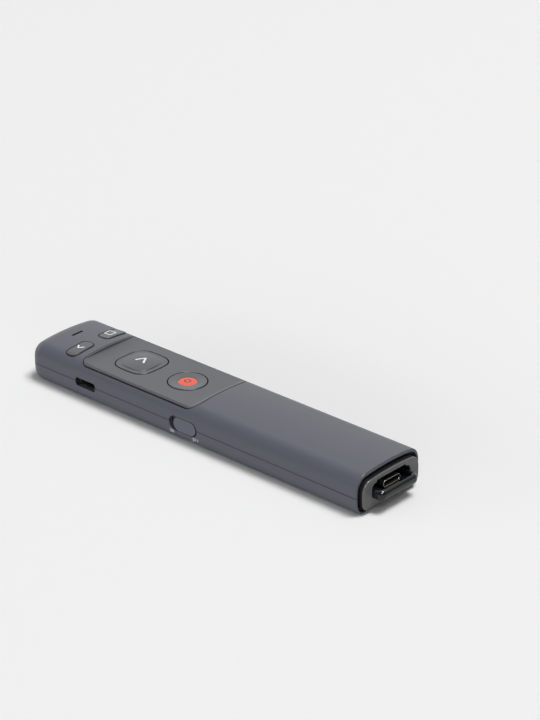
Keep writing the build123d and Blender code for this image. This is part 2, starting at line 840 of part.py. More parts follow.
# Tail
with BuildPart() as end_cap:
    casing_prism(cap_back, cap_depth, cap_inset, cap_roof)
    fillet(edges().group_by(Axis.Y)[0], cap_round)
    casing_prism(cap_back, cap_back - groove_bottom, casing_wall + cap_flange)
    with BuildSketch(section_plane(cap_back)):
        mouth_outline()
    extrude(amount=cap_depth, mode=Mode.SUBTRACT)
finish(end_cap, "end_cap")

with BuildPart() as receiver_dock:
    with BuildSketch(section_plane(dock_front)):
        with Locations((0, (floor_level + dock_top) / 2)):
            RectangleRounded(2 * dock_half_width, dock_top - floor_level, dock_corner)
    extrude(amount=dock_front - cap_back)
    with BuildSketch(section_plane(receiver_back + receiver_fit)):
        mouth_outline()
    extrude(amount=receiver_back + receiver_fit - cap_back, mode=Mode.SUBTRACT)
    with BuildSketch(section_plane(dock_front - dock_back)):
        with Locations((0, mouth_height)):
            Rectangle(usb_a_width + 2 * usb_a_fit, usb_a_thickness + 2 * usb_a_fit)
    extrude(amount=dock_front - dock_back - receiver_back, mode=Mode.SUBTRACT)
finish(receiver_dock, "receiver_dock")

# Receiver. The pocket is the hollow before its plug, for a fingertip.
with BuildPart() as pocket:
    with BuildSketch(side_plane(-pocket_half_width)):
        with BuildLine():
            Polyline(
                (receiver_front, pocket_floor),
                (pocket_front + pocket_slope_length, pocket_floor),
                (pocket_front, pocket_floor + pocket_slope_rise),
                (pocket_front, body_height),
                (receiver_front, body_height),
                close=True,
            )
        make_face()
    extrude(amount=2 * pocket_half_width)
    fillet(edges().filter_by(Axis.Z).group_by(Axis.Y)[0], pocket_corner)

with BuildPart() as receiver_case:
    with BuildSketch(Plane.XY.offset(scoop_bottom)):
        with Locations((0, (scoop_front + scoop_root) / 2)):
            Rectangle(2 * scoop_half_width, scoop_root - scoop_front)
    extrude(amount=scoop_rim - scoop_bottom)
    fillet(edges().filter_by(Axis.Z).group_by(Axis.Y)[0], scoop_corner)
    fillet(faces().sort_by(Axis.Z)[-1].edges(), scoop_side_round)
    fillet(faces().sort_by(Axis.Z)[0].edges(), scoop_foot_round)
    with BuildSketch(section_plane(receiver_back)):
        mouth_outline(-receiver_fit)
    extrude(amount=receiver_length)
    add(pocket.part, mode=Mode.SUBTRACT)
    with BuildSketch(section_plane(receiver_back - receiver_wall)):
        with Locations((0, mouth_height)):
            Rectangle(usb_a_width + receiver_room, usb_a_thickness + receiver_room)
    extrude(amount=receiver_length - 2 * receiver_wall, mode=Mode.SUBTRACT)
    with BuildSketch(section_plane(receiver_back)):
        with Locations((0, mouth_height)):
            Rectangle(usb_a_width, usb_a_thickness)
    extrude(amount=2 * receiver_wall, mode=Mode.SUBTRACT)
    with BuildSketch(section_plane(receiver_front + 2 * receiver_wall)):
        with Locations((0, usb_c_height)):
            SlotOverall(usb_c_width, usb_c_thickness)
    extrude(amount=2 * receiver_wall, mode=Mode.SUBTRACT)
finish(receiver_case, "receiver_case")

with BuildPart() as receiver_usb_c_shell:
    with BuildSketch(section_plane(receiver_front + usb_c_root)):
        with Locations((0, usb_c_height)):
            SlotOverall(usb_c_width, usb_c_thickness)
            SlotOverall(usb_c_width - 2 * usb_c_wall, usb_c_thickness - 2 * usb_c_wall, mode=Mode.SUBTRACT)
    extrude(amount=usb_c_root + usb_c_reach)
finish(receiver_usb_c_shell, "receiver_usb_c_shell")

with BuildPart() as receiver_usb_c_insert:
    with BuildSketch(section_plane(receiver_front + usb_c_root)):
        with Locations((0, usb_c_height)):
            SlotOverall(usb_c_width - 2 * usb_c_wall, usb_c_thickness - 2 * usb_c_wall)
    extrude(amount=usb_c_root + usb_c_reach - usb_c_wall)
    with BuildSketch(section_plane(usb_c_mouth + usb_c_slot_depth)):
        with Locations((0, usb_c_height)):
            Rectangle(usb_c_slot_width, usb_c_slot_thickness)
    extrude(amount=usb_c_slot_depth, mode=Mode.SUBTRACT)
finish(receiver_usb_c_insert, "receiver_usb_c_insert")

with BuildPart() as receiver_usb_a_shell:
    with BuildSketch(section_plane(usb_a_tip)):
        with Locations((0, mouth_height)):
            Rectangle(usb_a_width, usb_a_thickness)
            Rectangle(usb_a_width - 2 * usb_a_wall, usb_a_thickness - 2 * usb_a_wall, mode=Mode.SUBTRACT)
    extrude(amount=usb_a_reach + usb_a_root)
finish(receiver_usb_a_shell, "receiver_usb_a_shell")

with BuildPart() as receiver_usb_a_tongue:
    with BuildSketch(section_plane(usb_a_tip - usb_a_wall)):
        with Locations((0, tongue_top - usb_a_tongue_thickness / 2)):
            Rectangle(usb_a_width - 2 * usb_a_wall, usb_a_tongue_thickness)
    extrude(amount=usb_a_reach + usb_a_root - usb_a_wall)
finish(receiver_usb_a_tongue, "receiver_usb_a_tongue")

with BuildPart() as receiver_usb_a_contacts:
    with BuildSketch(Plane.XY.offset(tongue_top)):
        with Locations(*[(x, usb_a_tip - contact_setback - contact_length / 2) for x in contact_places]):
            Rectangle(contact_width, contact_length)
    extrude(amount=contact_thickness)
finish(receiver_usb_a_contacts, "receiver_usb_a_contacts")

with BuildPart() as receiver_board:
    with BuildSketch(Plane.XY.offset(usb_c_height - receiver_board_thickness / 2)):
        with Locations((0, receiver_board_middle)):
            Rectangle(2 * receiver_board_half_width, receiver_board_length)
    extrude(amount=receiver_board_thickness)
finish(receiver_board, "receiver_board")

with BuildPart() as receiver_chip:
    with BuildSketch(Plane.XY.offset(usb_c_height + receiver_board_thickness / 2)):
        with Locations((0, receiver_board_middle)):
            Rectangle(receiver_chip_side, receiver_chip_side)
    extrude(amount=receiver_chip_height)
finish(receiver_chip, "receiver_chip")
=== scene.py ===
# %% [markdown]
# A wireless presentation clicker: a slim bar of grey plastic with a control panel on top, a slide
# switch and a charging port in its left side, and a receiver stored in its tail.
# The solids come from CAD as a fixed frame. This script gives them their finishes, adds the pieces
# that are too fine for CAD, such as printed marks, and sets up the floor, the light and the camera.

from math import cos, pi, radians, sin, sqrt

import bmesh
import bpy
import numpy as np
from mathutils import Matrix, Vector


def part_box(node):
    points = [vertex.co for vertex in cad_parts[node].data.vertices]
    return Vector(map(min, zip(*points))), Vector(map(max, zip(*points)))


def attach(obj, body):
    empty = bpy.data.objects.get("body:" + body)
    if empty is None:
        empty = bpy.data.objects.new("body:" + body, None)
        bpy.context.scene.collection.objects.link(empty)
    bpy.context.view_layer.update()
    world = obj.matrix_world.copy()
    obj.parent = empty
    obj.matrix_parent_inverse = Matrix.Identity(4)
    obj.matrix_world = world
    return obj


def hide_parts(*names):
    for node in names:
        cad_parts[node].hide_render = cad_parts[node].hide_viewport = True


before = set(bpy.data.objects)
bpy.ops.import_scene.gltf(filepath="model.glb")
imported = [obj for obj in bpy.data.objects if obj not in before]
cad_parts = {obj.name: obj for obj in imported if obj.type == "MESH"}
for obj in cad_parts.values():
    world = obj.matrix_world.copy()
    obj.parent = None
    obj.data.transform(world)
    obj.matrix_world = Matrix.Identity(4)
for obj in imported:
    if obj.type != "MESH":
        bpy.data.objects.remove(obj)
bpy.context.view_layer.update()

# %% [markdown]
# The frame is in metres, and a hand-held thing is easier to think about in millimetres. Every size
# below is in millimetres and is multiplied by MM once, where it goes into Blender. Colours are
# chosen as they look on a screen, and a shader needs them as linear light.

# %% Units and colours
MM = 0.001


def from_srgb(red, green, blue):
    """The linear colour of a screen colour given in 0..255: a straight foot, then a power of 2.4."""
    share = np.array([red, green, blue]) / 255
    linear = np.where(share <= 0.04045, share / 12.92, ((share + 0.055) / 1.055) ** 2.4)
    return (*linear.tolist(), 1.0)


print("mid grey is", round(from_srgb(128, 128, 128)[0], 3), "in linear light")

# %% [markdown]
# A finish is a small tree of shader nodes. Two classes keep it readable. Signal wraps one output
# socket, so that sums on it can be written as Python sums, each adding one Math node. Finish holds
# the tree, and its node method adds any node from its type, its settings and its sockets.

# %% Shader nodes written as sums


class Signal:
    """One output socket in a tree of shader nodes, which can be added to, multiplied and compared."""

    def __init__(self, finish, socket):
        self.finish = finish
        self.socket = socket

    def maths(self, operation, first, second):
        """One Math node with the given operation on two values, either of which may be a number."""
        return self.finish.node("Math", {"operation": operation}, {0: first, 1: second})

    def __add__(self, other):
        return self.maths("ADD", self, other)

    def __sub__(self, other):
        return self.maths("SUBTRACT", self, other)

    def __rsub__(self, other):
        return self.maths("SUBTRACT", other, self)

    def __mul__(self, other):
        return self.maths("MULTIPLY", self, other)

    def __lt__(self, other):
        return self.maths("LESS_THAN", self, other)

    def __gt__(self, other):
        return self.maths("GREATER_THAN", self, other)

    __radd__ = __add__
    __rmul__ = __mul__


class Finish:
    """The node tree of a material or of the world, under construction."""

    def __init__(self, owner, end):
        self.owner = owner
        owner.use_nodes = True
        self.tree = owner.node_tree
        self.tree.nodes.clear()
        self.end = self.tree.nodes.new("ShaderNode" + end)

    def node(self, kind, settings=None, sockets=None, output=0):
        """A node of one type: its settings go first, then the values or signals of its sockets."""
        node = self.tree.nodes.new("ShaderNode" + kind)
        for setting, value in (settings or {}).items():
            setattr(node, setting, value)
        for socket, value in (sockets or {}).items():
            if isinstance(value, Signal):
                self.tree.links.new(value.socket, node.inputs[socket])
            else:
                node.inputs[socket].default_value = value
        return Signal(self, node.outputs[output])

    def mix(self, factor, first, second):
        """A colour between two others."""
        return self.node("Mix", {"data_type": "RGBA"}, {0: factor, 6: first, 7: second}, output=2)

    def noise(self, waves, detail=2.0):
        """Cloudy noise on the object's own position, with that many waves in a metre."""
        position = self.node("TexCoord", output="Object")
        return self.node("TexNoise", None, {"Vector": position, "Scale": waves, "Detail": detail})

    def clamp(self, value):
        """The value, kept between 0 and 1."""
        return self.node("Clamp", None, {"Value": value})

    def bump(self, height, depth):
        """A normal that makes the height, from 0 to 1, look this many millimetres deep."""
        return self.node("Bump", None, {"Height": height, "Distance": depth * MM, "Strength": 1.0})

    def done(self, shader):
        """Send the shader to the surface, and give back the material or the world."""
        self.tree.links.new(shader.socket, self.end.inputs["Surface"])
        return self.owner


def new_finish(name):
    """An empty material to build on."""
    return Finish(bpy.data.materials.new(name), "OutputMaterial")


print("the two classes are ready")

# %% [markdown]
# Shade is painted as black into narrow gaps: on the walls of the port, in the groove of the parting
# line, and on the sides of the panel, the cap and the buttons. Hands polish the rims around them. Masks
# pick these faces out by their place: each one is 1 on its faces and 0 elsewhere. The place is measured
# on the piece itself, so a mask moves with its piece.

# %% Where shade is painted and where the plastic is polished
PORT_DEPTHS = (-14.72, -12.0)  # x from the shell's outer face, less a rim, to its inner face
PORT_REACH = (39.0, 52.0)  # y
PORT_HEIGHTS = (4.7, 8.0)  # z
GROOVE_HEIGHTS = (6.33, 6.47)  # z of the groove along the parting line
PANEL_SIDE_TOP = 12.3  # z
PANEL_RIM_HEIGHTS = (12.2, 12.79)
BUTTON_SIDE_TOP = 12.6
BUTTON_RIM_HEIGHTS = (12.5, 12.89)
CASING_RIM_START = -72.6  # y, from there to the tail
CAP_RIM_DEPTHS = (-74.34, -73.9)  # y
CAP_SIDE_END = -73.85
CROWN_TOP = 14.2  # of the casing's crowned top, over the front edge of the panel
CROWN_RADIUS = 88.97
FRONT_SLOPE = 0.07  # the front buttons' fall towards the nose
FRONT_EDGE = 57.2  # y where they are as high as the crown
FRONT_RIM = 0.32  # from a front button's top down to its sides


def coordinates(finish):
    """The position on the piece as three signals in millimetres."""
    position = finish.node("TexCoord", output="Object")
    return [finish.node("SeparateXYZ", None, {0: position}, output=axis) * (1 / MM) for axis in "XYZ"]


def between(value, limits):
    """1 where the value lies between the two limits."""
    return (value > limits[0]) * (value < limits[1])


def port_wall_shade(finish):
    """1 on the walls of the port's opening and in the narrow groove of the parting line, where shade is
    painted as black.
    """
    x, y, z = coordinates(finish)
    port = between(x, PORT_DEPTHS) * between(y, PORT_REACH) * between(z, PORT_HEIGHTS)
    return finish.clamp(port + between(z, GROOVE_HEIGHTS))


def panel_side_shade(finish):
    """1 on the panel's sides and underside, below its rounded rim, where shade is painted as black."""
    return coordinates(finish)[2] < PANEL_SIDE_TOP


def cap_side_shade(finish):
    """1 on the sides of the tail's cap, behind the rounded edge of its face, where shade is painted as
    black.
    """
    return coordinates(finish)[1] > CAP_SIDE_END


def button_side_shade(finish):
    """1 on the sides of the two buttons in the panel, below their rounded edges, where shade is painted
    as black.
    """
    return coordinates(finish)[2] < BUTTON_SIDE_TOP


def front_side_shade(finish):
    """1 on the sides of the front buttons, where shade is painted as black: z + x^2 / 2R + slope * y is
    below that of their top.
    """
    x, y, z = coordinates(finish)
    side_top = CROWN_TOP + FRONT_SLOPE * FRONT_EDGE - FRONT_RIM
    return z + x * x * (0.5 / CROWN_RADIUS) + y * FRONT_SLOPE < side_top


def tail_rim(finish):
    """1 on the rounded rim of the casing's tail end."""
    return coordinates(finish)[1] < CASING_RIM_START


def cap_rim(finish):
    """1 on the rounded edge of the cap's face."""
    return between(coordinates(finish)[1], CAP_RIM_DEPTHS)


def panel_rims(finish):
    """1 on the panel's rounded rim and on the rims of its holes."""
    return between(coordinates(finish)[2], PANEL_RIM_HEIGHTS)


def button_rims(finish):
    """1 on the rounded rims of the two buttons in the panel."""
    return between(coordinates(finish)[2], BUTTON_RIM_HEIGHTS)


print("the masks are ready")

# %% [markdown]
# Most of the clicker is injection-moulded plastic. Its mould is lightly eroded, which leaves a fine
# grain that scatters the light, and the pigment has a faint sparkle. So one recipe makes all of it:
# a colour with a fine speckle, a roughness that wanders a little where hands polish it, and a bump
# of the mould's grain. The satin paint of the casing and of its buttons is a soft clear coat. The
# polished black of the receiver has hardly any grain, and a sharper coat.

# %% Moulded plastics
SPECKLE_WAVES = 5200  # in a metre
HANDLED_WAVES = 75
SPECKLE_SWING = 0.04  # how much the roughness varies with each of the two
HANDLED_SWING = 0.08
WORN_ROUGHNESS = 0.15
# Painted shade: the black that the dark masks put into gaps and onto faces turned into them.
SHADE_BLACK = from_srgb(22, 22, 25)


def moulded(name, colour, roughness, speckle=0.06, grain=0.004, coat=0.0, coat_roughness=0.04,
            dark=None, worn=None):
    """Plastic as it comes from the mould: the colour times 1 - speckle to 1 + speckle, and a bump that
    is grain millimetres deep. Where dark gives 1 the colour turns black, as painted shade in gaps and
    on faces turned into them, and where worn gives 1 it is polished."""
    finish = new_finish(name)
    fine = finish.noise(SPECKLE_WAVES, 1.0)
    handled = finish.noise(HANDLED_WAVES, 3.0)
    darker, lighter = ((*(np.array(colour[:3]) * share), 1.0) for share in (1 - speckle, 1 + speckle))
    tint = finish.mix(fine, darker, lighter)
    # Painted shade: black where the dark mask gives 1.
    if dark:
        tint = finish.mix(dark(finish), tint, SHADE_BLACK)
    lowest = roughness - (SPECKLE_SWING + HANDLED_SWING) / 2
    gloss = lowest + handled * HANDLED_SWING + fine * SPECKLE_SWING
    if worn:
        gloss = gloss - worn(finish) * (roughness - WORN_ROUGHNESS)
    sockets = {
        "Base Color": tint,
        "Roughness": gloss,
        "Normal": finish.bump(fine, grain),
        "IOR": 1.5,
        "Coat Weight": coat,
        "Coat Roughness": coat_roughness,
    }
    return finish.done(finish.node("BsdfPrincipled", None, sockets))


# The masks given as dark paint shade into gaps and onto the sides of parts as black; the masks given as
# worn only lower the roughness.
finishes = {
    "casing_plastic": moulded("satin_blue_grey", from_srgb(78, 81, 91), 0.42, coat=0.3,
                              coat_roughness=0.2, dark=port_wall_shade, worn=tail_rim),
    "panel_plastic": moulded("satin_warm_grey", from_srgb(80, 83, 88), 0.46, coat=0.3,
                             coat_roughness=0.2, dark=panel_side_shade, worn=panel_rims),
    "cap_plastic": moulded("satin_tail_grey", from_srgb(94, 94, 95), 0.44, coat=0.4,
                           coat_roughness=0.15, dark=cap_side_shade, worn=cap_rim),
    "red_plastic": moulded("satin_orange_red", from_srgb(232, 98, 78), 0.40, speckle=0.03),
    "dark_plastic": moulded("matt_black", from_srgb(26, 26, 28), 0.55),
    "gloss_black_plastic": moulded("polished_black", from_srgb(17, 21, 22), 0.16, 0.02, 0.0005,
                                   coat=0.6),
    "light_plastic": moulded("milky_resin", from_srgb(228, 226, 205), 0.25, 0.02, 0.001),
}
panel_button = moulded("satin_button_grey", from_srgb(70, 74, 81), 0.42, coat=0.5, coat_roughness=0.16,
                       dark=button_side_shade, worn=button_rims)
front_button = moulded("satin_front_grey", from_srgb(69, 71, 76), 0.42, coat=0.5, coat_roughness=0.16,
                       dark=front_side_shade)
print("moulded finishes:", len([*finishes, panel_button, front_button]))

# %% [markdown]
# The metals are the plug and socket shells of plated steel, gold-plated contacts and a turned brass
# barrel. A metal's colour is in its reflection, so only the roughness and a faint brushing vary.

# %% Metals
BRUSHING_SWING = 0.08  # how much the roughness varies
BRUSHING_DEPTH = 0.0006
DULL_SHARE = 0.9  # of the colour, in the duller streaks


def plated(name, colour, roughness, waves=900.0):
    """Bare or plated metal: soft scratches wander through the roughness and the grain."""
    finish = new_finish(name)
    brushing = finish.noise(waves, 2.0)
    dull = tuple(np.array(colour[:3]) * DULL_SHARE) + (1.0,)
    sockets = {
        "Base Color": finish.mix(brushing, dull, colour),
        "Metallic": 1.0,
        "Roughness": roughness - BRUSHING_SWING / 2 + brushing * BRUSHING_SWING,
        "Normal": finish.bump(brushing, BRUSHING_DEPTH),
    }
    return finish.done(finish.node("BsdfPrincipled", None, sockets))


finishes["plated_steel"] = plated("nickel_plate", (0.68, 0.65, 0.6, 1.0), 0.24)
finishes["gold_contact"] = plated("gold_plate", (0.86, 0.62, 0.27, 1.0), 0.2)
finishes["laser_brass"] = plated("turned_brass", (0.74, 0.53, 0.24, 1.0), 0.3)
finishes["battery_foil"] = plated("laminated_foil", (0.7, 0.71, 0.72, 1.0), 0.42, 400.0)
print("finishes so far:", len(finishes))

# %% [markdown]
# The clear pieces are small: the laser's lens, the window before it and the light pipe of the
# status lamp. They are shaders with transmission, and a smoky tint where the real ones look dark.

# %% Clear pieces
HAZE_WAVES = 700  # in a metre
HAZE_SWING = 0.05


def clear(name, tint, roughness):
    """Clear or smoky plastic or glass, with a trace of haze that varies over it."""
    finish = new_finish(name)
    haze = finish.noise(HAZE_WAVES, 2.0)
    sockets = {
        "Base Color": tint,
        "Transmission Weight": 1.0,
        "Roughness": roughness + haze * HAZE_SWING,
        "IOR": 1.49,
    }
    return finish.done(finish.node("BsdfPrincipled", None, sockets))


finishes["clear_plastic"] = clear("smoky_clear", (0.08, 0.085, 0.1, 1.0), 0.08)
finishes["lens_glass"] = clear("lens_glass", (0.93, 0.95, 0.98, 1.0), 0.0)
print("finishes so far:", len(finishes))

# %% [markdown]
# Inside are a circuit board and the foam tape that holds the battery. The board's green mask covers
# copper that shows as slightly raised, lighter patches: here small squares, strewn over a loose grid.

# %% Circuit board and tape
COPPER_WAVES = 420.0  # patches in a metre
COPPER_HALF = 0.28  # half a patch's side, as a share of the grid's step
COPPER_DEPTH = 0.03


def board_mask():
    """Green solder mask over square patches of copper, about 1.3 mm wide and 2.4 mm apart."""
    finish = new_finish("green_mask")
    position = finish.node("TexCoord", output="Object")
    sockets = {"Vector": position, "Scale": COPPER_WAVES}
    cells = finish.node("TexVoronoi", {"distance": "CHEBYCHEV"}, sockets)
    copper = cells < COPPER_HALF
    sockets = {
        "Base Color": finish.mix(copper, (0.006, 0.055, 0.026, 1.0), (0.02, 0.13, 0.06, 1.0)),
        "Roughness": 0.3 + copper * 0.08,
        "Normal": finish.bump(copper, COPPER_DEPTH),
    }
    return finish.done(finish.node("BsdfPrincipled", None, sockets))


finishes["board_laminate"] = board_mask()
finishes["tape"] = moulded("foam_tape", from_srgb(222, 220, 213), 0.85, 0.1, 0.03)

own_finishes = {
    "power_slider": moulded("satin_slider_grey", from_srgb(80, 84, 95), 0.34, coat=0.8,
                            coat_roughness=0.08),
    "next_button": panel_button,
    "laser_button": panel_button,
    "previous_button": front_button,
    "screen_button": front_button,
}
for name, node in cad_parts.items():
    for slot in node.material_slots:
        slot.material = own_finishes.get(name) or finishes[slot.material.name]
print("finishes for a kind of material:", len(finishes), "and for a piece:", len(own_finishes))

# %% [markdown]
# Drawn metal is never quite sharp at its edges. The receiver's small plug is too fine for that in
# CAD, and its rim catches the light, so a copy of its shell gets rounded edges and stands for it.
# A CAD mesh is loose triangles, so the copy is merged first. Then Blender's Bevel rounds every edge
# that turns by more than an angle.

# %% Softened edges
MERGE_REACH = 0.0005
SHARP_ANGLE = radians(30)
BEVEL_ANGLE = radians(35)
PLUG_ROUND = 0.1


def softened(name, width, body):
    """A copy of a CAD node with its sharp edges rounded, which stands for that node."""
    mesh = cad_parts[name].data.copy()
    form = bmesh.new()
    form.from_mesh(mesh)
    bmesh.ops.remove_doubles(form, verts=form.verts, dist=MERGE_REACH * MM)
    form.to_mesh(mesh)
    form.free()
    if "custom_normal" in mesh.attributes:
        mesh.attributes.remove(mesh.attributes["custom_normal"])
    mesh.shade_smooth()
    mesh.set_sharp_from_angle(angle=SHARP_ANGLE)
    piece = bpy.data.objects.new(name + "_soft", mesh)
    bpy.context.scene.collection.objects.link(piece)
    bevel = piece.modifiers.new("soft_edges", "BEVEL")
    bevel.width = width * MM
    bevel.segments = 2
    bevel.limit_method = "ANGLE"
    bevel.angle_limit = BEVEL_ANGLE
    bevel.use_clamp_overlap = True
    bevel.harden_normals = True
    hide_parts(name)
    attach(piece, body)
    return piece


plug_shell = softened("receiver_usb_c_shell", PLUG_ROUND, "receiver")
print("softened:", plug_shell.name)

# %% [markdown]
# The receiver's small plug has two rows of twelve gold contacts in its mouth, half a millimetre
# apart. Each contact is a thin block: its eight corners are its middle plus or minus its half sizes.

# %% Contacts of the small plug
CORNER_SIGNS = np.array([(x, y, z) for x in (-1, 1) for y in (-1, 1) for z in (-1, 1)])
BLOCK_FACES = np.array([
    (0, 1, 3, 2), (4, 6, 7, 5), (0, 4, 5, 1), (2, 3, 7, 6), (0, 2, 6, 4), (1, 5, 7, 3),
])
CONTACTS_IN_ROW = 12
CONTACT_PITCH = 0.5
CONTACT_HALF = (0.13, 1.9, 0.06)
CONTACT_INSET = 0.25  # from the insert's face
MOUTH_HALF = 0.6  # from the middle of the mouth to a row's middle


def blocks(name, middles, half, body, finish):
    """One piece of many equal blocks, whose corners are middle + sign * half on each axis."""
    corners = middles[:, None, :] + CORNER_SIGNS[None, :, :] * np.array(half)
    faces = (BLOCK_FACES[None, :, :] + 8 * np.arange(len(middles))[:, None, None]).reshape(-1, 4)
    mesh = bpy.data.meshes.new(name)
    mesh.from_pydata((corners.reshape(-1, 3) * MM).tolist(), [], faces.tolist())
    mesh.materials.append(finish)
    piece = bpy.data.objects.new(name, mesh)
    bpy.context.scene.collection.objects.link(piece)
    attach(piece, body)
    return piece


insert_low, insert_high = (np.array(corner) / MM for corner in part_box("receiver_usb_c_insert"))
across = (np.arange(CONTACTS_IN_ROW) - (CONTACTS_IN_ROW - 1) / 2) * CONTACT_PITCH
rows = (insert_low[2] + insert_high[2]) / 2 + np.array([-MOUTH_HALF, MOUTH_HALF])
grid_x, grid_z = np.meshgrid(across, rows)
along = np.full(grid_x.size, insert_low[1] + CONTACT_INSET + CONTACT_HALF[1])
contact_middles = np.stack([grid_x.ravel(), along, grid_z.ravel()], axis=1)
blocks("receiver_usb_c_contacts", contact_middles, CONTACT_HALF, "receiver",
       finishes["gold_contact"])
print("contacts:", len(contact_middles))

# %% [markdown]
# The clicker lies on a plain pale floor in a bright room. The floor is a matt sheet, which is paler
# for the camera than for the light that it gives back. Where the camera looks past it, the world is
# the same pale grey. For light the world is brighter overhead than at the horizon, as under a white
# ceiling with darker walls, and it has a pale backdrop beyond the clicker and a low white screen on
# its left.

# %% Floor and world
FLOOR_HALF = 3000.0
FLOOR_SINK = 0.02
BACKGROUND = from_srgb(239, 239, 239)
BOUNCE = from_srgb(190, 190, 190)  # what the floor gives back to the object
BACKDROP_SIDE = (0.74, 0.67, 0.0)
BACKDROP_FULL = 1.6  # one over the cosine of the angle at which the backdrop reaches full strength
SCREEN_SIDE = (-1.0, 0.0, 0.0)
SCREEN_HALF = 0.45  # cosine of half the screen's width
SCREEN_TOP = 0.26  # sine of the height angle of its upper edge


def floor_piece():
    """A square sheet under the object."""
    corners = np.array([(-1, -1, 0), (1, -1, 0), (1, 1, 0), (-1, 1, 0)]) * FLOOR_HALF * MM
    corners[:, 2] = -FLOOR_SINK * MM
    mesh = bpy.data.meshes.new("floor")
    mesh.from_pydata(corners.tolist(), [], [(0, 1, 2, 3)])
    floor = bpy.data.objects.new("floor", mesh)
    bpy.context.scene.collection.objects.link(floor)
    finish = new_finish("pale_sheet")
    seen = finish.node("LightPath", output="Is Camera Ray")
    sockets = {
        "Base Color": finish.mix(seen, BOUNCE, BACKGROUND),
        "Roughness": 0.9,
        "Specular IOR Level": 0.0,
    }
    mesh.materials.append(finish.done(finish.node("BsdfPrincipled", None, sockets)))
    return floor


def pale_room(overhead, horizon, backdrop, screen):
    """A world that shines with one strength from overhead, another from the horizon, and two more
    from the pale backdrop beyond the object and from a low white screen at its left, which lights
    its side but hardly the floor. It shows the camera a plain pale grey, and mirrors and glass too
    where they face the backdrop."""
    world = Finish(bpy.data.worlds.new("pale_room"), "OutputWorld")
    direction = world.node("TexCoord", output="Generated")

    def towards(side):
        """The cosine of the angle between the direction and a side of the room."""
        sockets = {0: direction, 1: side}
        return world.node("VectorMath", {"operation": "DOT_PRODUCT"}, sockets, output="Value")

    height = world.node("SeparateXYZ", None, {0: direction}, output="Z")
    behind = world.clamp(towards(BACKDROP_SIDE) * BACKDROP_FULL)
    level = horizon + world.clamp(height) * (overhead - horizon) + behind * backdrop
    camera_ray, clear_ray, mirror_ray = (
        world.node("LightPath", output=kind)
        for kind in ("Is Camera Ray", "Is Transmission Ray", "Is Glossy Ray")
    )
    seen = world.clamp(camera_ray + clear_ray + mirror_ray * behind)
    low = (towards(SCREEN_SIDE) > SCREEN_HALF) * (height < SCREEN_TOP)
    level = level + low * (1 - mirror_ray) * screen
    light = world.node("Background", None, {"Color": (1.0, 1.0, 1.0, 1.0), "Strength": level})
    plain = world.node("Background", None, {"Color": BACKGROUND, "Strength": 1.0})
    return world.done(world.node("MixShader", None, {0: seen, 1: light, 2: plain}))


floor_piece()
bpy.context.scene.world = pale_room(overhead=0.14, horizon=0.05, backdrop=0.15, screen=4.0)
print("floor and world are in")

# %% [markdown]
# Three soft lamps. A wide one hangs overhead, a little to the right and towards the tail, so that
# the contact shadow is soft. Two stand at one place on the near left: a small one lights the plastic
# alone, and a wider one is seen in mirrors alone, where it draws glints along the rounded rims.

# %% Lamps
OVERHEAD_PLACE = (1400, -2000, 8700)
NEAR_PLACE = (-3900, -4700, 6600)


def soft_lamp(name, place, width, share):
    """A square lamp that faces the object and lights it with this share of full light: a lamp of
    P watts at a distance d gives P / (pi d)^2 of the light in which a white sheet looks white."""
    lamp = bpy.data.lights.new(name, "AREA")
    lamp.shape = "SQUARE"
    lamp.size = width * MM
    away = Vector(place) * MM
    lamp.energy = share * (pi * away.length) ** 2
    holder = bpy.data.objects.new(name, lamp)
    facing = away.to_track_quat("Z", "Y").to_matrix().to_4x4()
    holder.matrix_world = Matrix.Translation(away) @ facing
    bpy.context.scene.collection.objects.link(holder)
    return holder


soft_lamp("overhead_lamp", OVERHEAD_PLACE, 3600, 0.785)
soft_lamp("near_lamp", NEAR_PLACE, 300, 0.06).visible_glossy = False
soft_lamp("glint_lamp", NEAR_PLACE, 1500, 0.3).visible_diffuse = False
print("lamps:", len(bpy.data.lights))

# %% [markdown]
# The camera stands at the near left, 26 degrees above the table, with a long lens. Its place is
# worked out from its turn about the upright, its height angle, its distance, and the point of the
# object that lies in the middle of the picture.

# %% Camera
PICTURE_HEIGHT = 720.0  # pixels
FOCAL_LENGTH = 2566.465  # pixels
SENSOR = 36.0
CAMERA_TURN = radians(-47.85043)
CAMERA_RISE = radians(26.12111)
CAMERA_ROLL = radians(0.28123)
CAMERA_DISTANCE = 833.753
CAMERA_NEAREST = 10.0  # nothing closer is seen
CENTRE_RIGHT = 17.9545
CENTRE_UP = 14.6689
CENTRE_HEIGHT = 8.0


def camera_axes():
    """The camera's right, up and backward directions, before its small roll."""
    right = Vector((cos(CAMERA_TURN), sin(CAMERA_TURN), 0))
    level = cos(CAMERA_RISE)
    back = Vector((sin(CAMERA_TURN) * level, -cos(CAMERA_TURN) * level, sin(CAMERA_RISE)))
    return right, back.cross(right), back


def add_camera():
    """A camera at its place, rolled about its own line of sight."""
    right, up, back = camera_axes()
    centre = CENTRE_RIGHT * right + CENTRE_UP * up + Vector((0, 0, CENTRE_HEIGHT))
    eye = centre + CAMERA_DISTANCE * back
    rolled_right = cos(CAMERA_ROLL) * right - sin(CAMERA_ROLL) * up
    rolled_up = sin(CAMERA_ROLL) * right + cos(CAMERA_ROLL) * up
    lens = bpy.data.cameras.new("camera")
    lens.sensor_width = SENSOR
    lens.lens = FOCAL_LENGTH * SENSOR / PICTURE_HEIGHT
    lens.clip_start = CAMERA_NEAREST * MM
    camera = bpy.data.objects.new("camera", lens)
    turned = Matrix((rolled_right, rolled_up, back)).transposed().to_4x4()
    camera.matrix_world = Matrix.Translation(eye * MM) @ turned
    bpy.context.scene.collection.objects.link(camera)
    bpy.context.scene.camera = camera
    return camera


camera = add_camera()
bpy.context.scene.view_settings.view_transform = "Standard"
print("lens:", round(camera.data.lens, 1), "mm on", SENSOR, "mm")

